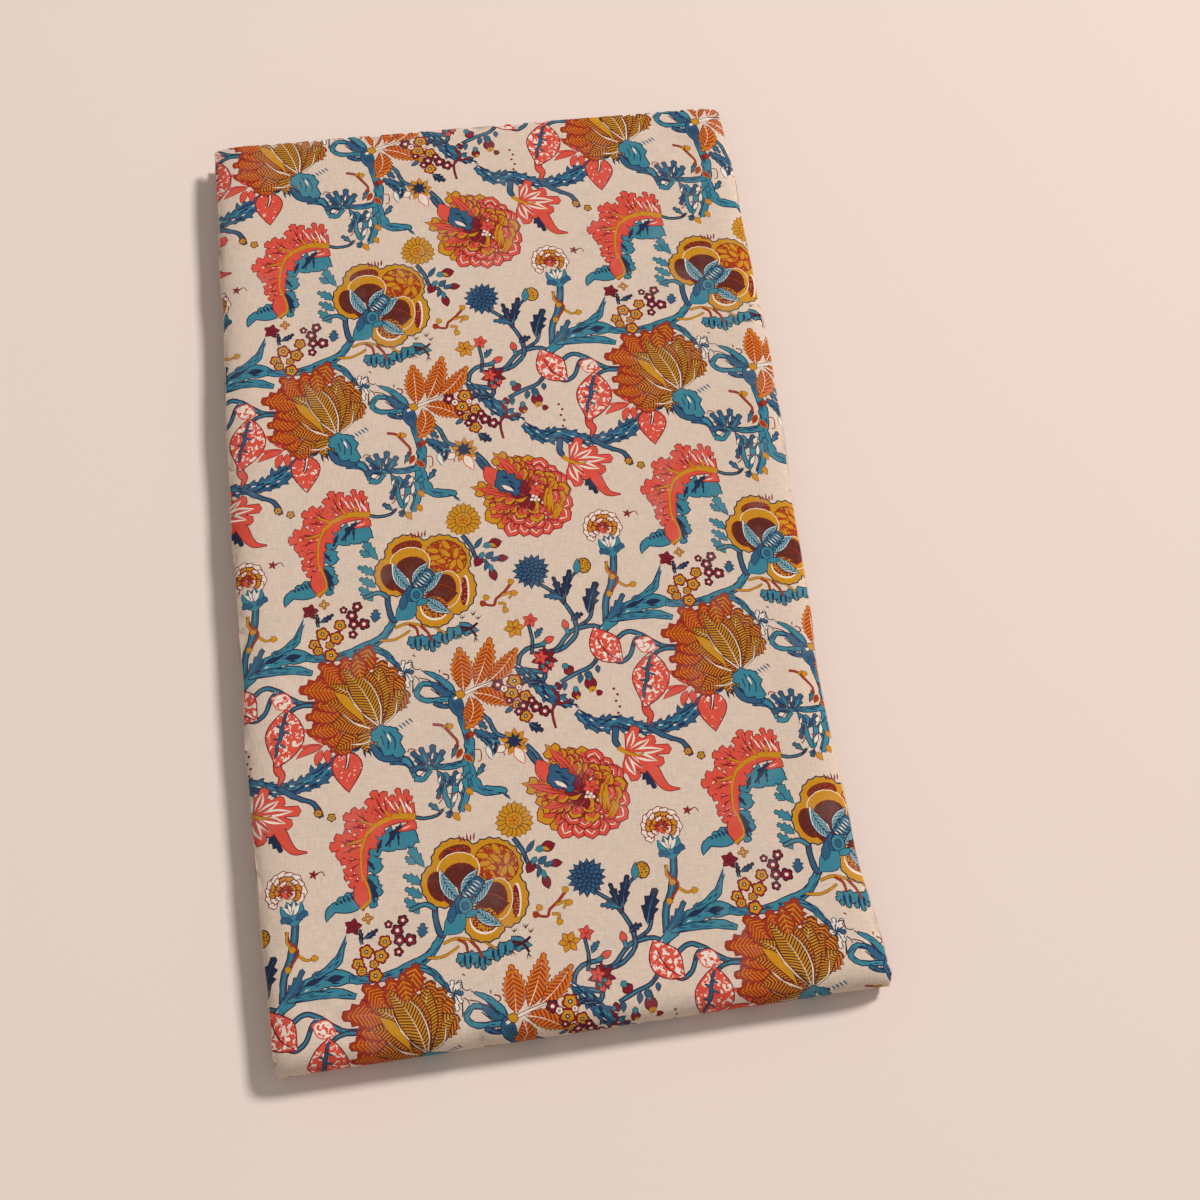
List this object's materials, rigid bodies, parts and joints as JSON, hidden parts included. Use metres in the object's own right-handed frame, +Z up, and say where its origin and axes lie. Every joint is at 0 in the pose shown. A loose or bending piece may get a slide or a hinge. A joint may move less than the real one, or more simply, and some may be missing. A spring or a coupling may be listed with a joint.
{
  "type": "printed crepe fabric",
  "caption": "Soft printed crepe cloth, folded back and forth and doubled over into a flat rectangular pack with one smooth rounded end.",
  "frame": {"origin": "middle of the pack's footprint, on the surface that it lies on", "axes": "+X across the pack, +Y along its length away from the smooth doubled fold, +Z up"},
  "size_m": [0.318, 0.557, 0.0225],
  "materials": {
    "printed_crepe": "matte plain-weave crepe, screen printed with trailing flowers and leaves on a beige ground"
  },
  "bodies": {
    "root": {"folded_cloth": "printed_crepe"}
  },
  "joints": []
}
